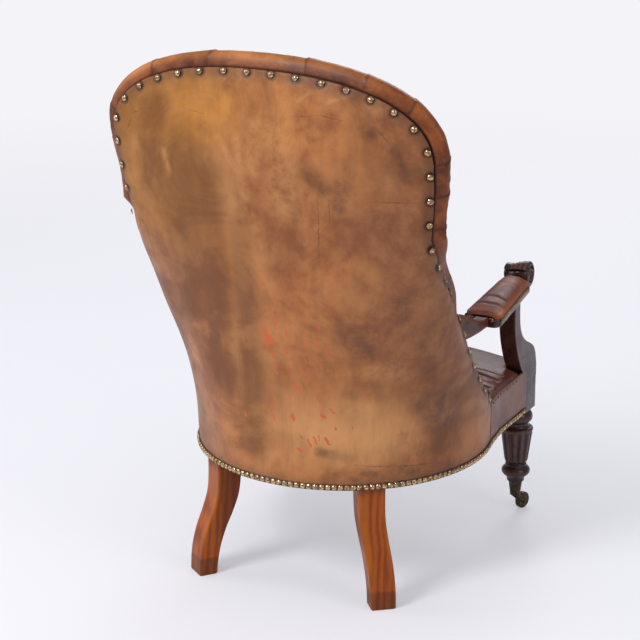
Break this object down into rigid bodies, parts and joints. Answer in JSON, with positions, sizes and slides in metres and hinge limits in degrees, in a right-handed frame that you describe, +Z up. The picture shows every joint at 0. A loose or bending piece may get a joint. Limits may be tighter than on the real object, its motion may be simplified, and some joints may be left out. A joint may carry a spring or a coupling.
{
  "type": "library armchair",
  "caption": "Low leather library armchair with a curved spoon back, open scrolled arms, sabre rear legs and reeded front legs on swivelling castors.",
  "frame": {"origin": "middle of the chair's outline on the floor", "axes": "+Z up, -Y towards the front of the chair, +X towards the sitter's left"},
  "size_m": [0.6594, 0.7292, 1.0557],
  "materials": {
    "carved_mahogany": "dark polished mahogany, worn pale on the reeds",
    "turned_mahogany": "dark polished mahogany",
    "sabre_mahogany": "red-brown polished mahogany",
    "frame_beech": "plain sawn beech",
    "back_hide": "worn tan hide, scratched",
    "roll_leather": "red-brown leather, pleated",
    "inside_leather": "buttoned brown leather",
    "seat_leather": "brown leather, creased",
    "arm_leather": "dark brown leather, worn at the edges",
    "trim_leather": "near-black leather band",
    "stuffing": "hair stuffing under calico",
    "webbing": "woven jute",
    "hessian": "plain jute cloth",
    "spring_steel": "coppered wire",
    "nail_brass": "domed brass nails, tarnished",
    "castor_brass": "brass with green-brown tarnish"
  },
  "bodies": {
    "chair": {"arm_dowels": "frame_beech", "arm_left": "carved_mahogany", "arm_nails_left": "nail_brass", "arm_nails_right": "nail_brass", "arm_pad_left": "arm_leather", "arm_pad_right": "arm_leather", "arm_right": "carved_mahogany", "arm_support_left": "carved_mahogany", "arm_support_right": "carved_mahogany", "back_buttons": "inside_leather", "back_edge_roll": "roll_leather", "back_seat_rail": "frame_beech", "back_upright_left": "frame_beech", "back_upright_right": "frame_beech", "back_webbing": "webbing", "bottom_cloth": "hessian", "castor_cup_left": "castor_brass", "castor_cup_right": "castor_brass", "corner_blocks": "frame_beech", "crest_rail": "frame_beech", "edge_nails": "nail_brass", "front_leg_left": "turned_mahogany", "front_leg_right": "turned_mahogany", "front_seat_rail": "frame_beech", "inside_back_pad": "inside_leather", "outside_back_hide": "back_hide", "rear_leg_left": "sabre_mahogany", "rear_leg_right": "sabre_mahogany", "seat_border_front": "seat_leather", "seat_border_left": "seat_leather", "seat_border_right": "seat_leather", "seat_cover": "seat_leather", "seat_edge_nails": "nail_brass", "seat_hessian": "hessian", "seat_springs": "spring_steel", "seat_stuffing": "stuffing", "seat_webbing": "webbing", "side_rail_left": "frame_beech", "side_rail_right": "frame_beech", "trim_band": "trim_leather", "trim_nails": "nail_brass"},
    "castor_horn_left": {"castor_horn_left": "castor_brass", "castor_axle_left": "castor_brass"},
    "castor_wheel_left": {"castor_wheel_left": "castor_brass"},
    "castor_horn_right": {"castor_horn_right": "castor_brass", "castor_axle_right": "castor_brass"},
    "castor_wheel_right": {"castor_wheel_right": "castor_brass"}
  },
  "joints": [
    {"name": "castor_swivel_left", "type": "hinge", "parent": "chair", "child": "castor_horn_left", "pos_m": [0.241, -0.32415, 0.04], "axis": [0, 0, 1], "continuous": true},
    {"name": "castor_wheel_spin_left", "type": "hinge", "parent": "castor_horn_left", "child": "castor_wheel_left", "pos_m": [0.24818, -0.34706, 0.017], "axis": [0.9542, 0.299, 0], "continuous": true},
    {"name": "castor_swivel_right", "type": "hinge", "parent": "chair", "child": "castor_horn_right", "pos_m": [-0.241, -0.32415, 0.04], "axis": [0, 0, 1], "continuous": true},
    {"name": "castor_wheel_spin_right", "type": "hinge", "parent": "castor_horn_right", "child": "castor_wheel_right", "pos_m": [-0.24818, -0.34706, 0.017], "axis": [0.9542, -0.299, 0], "continuous": true}
  ]
}
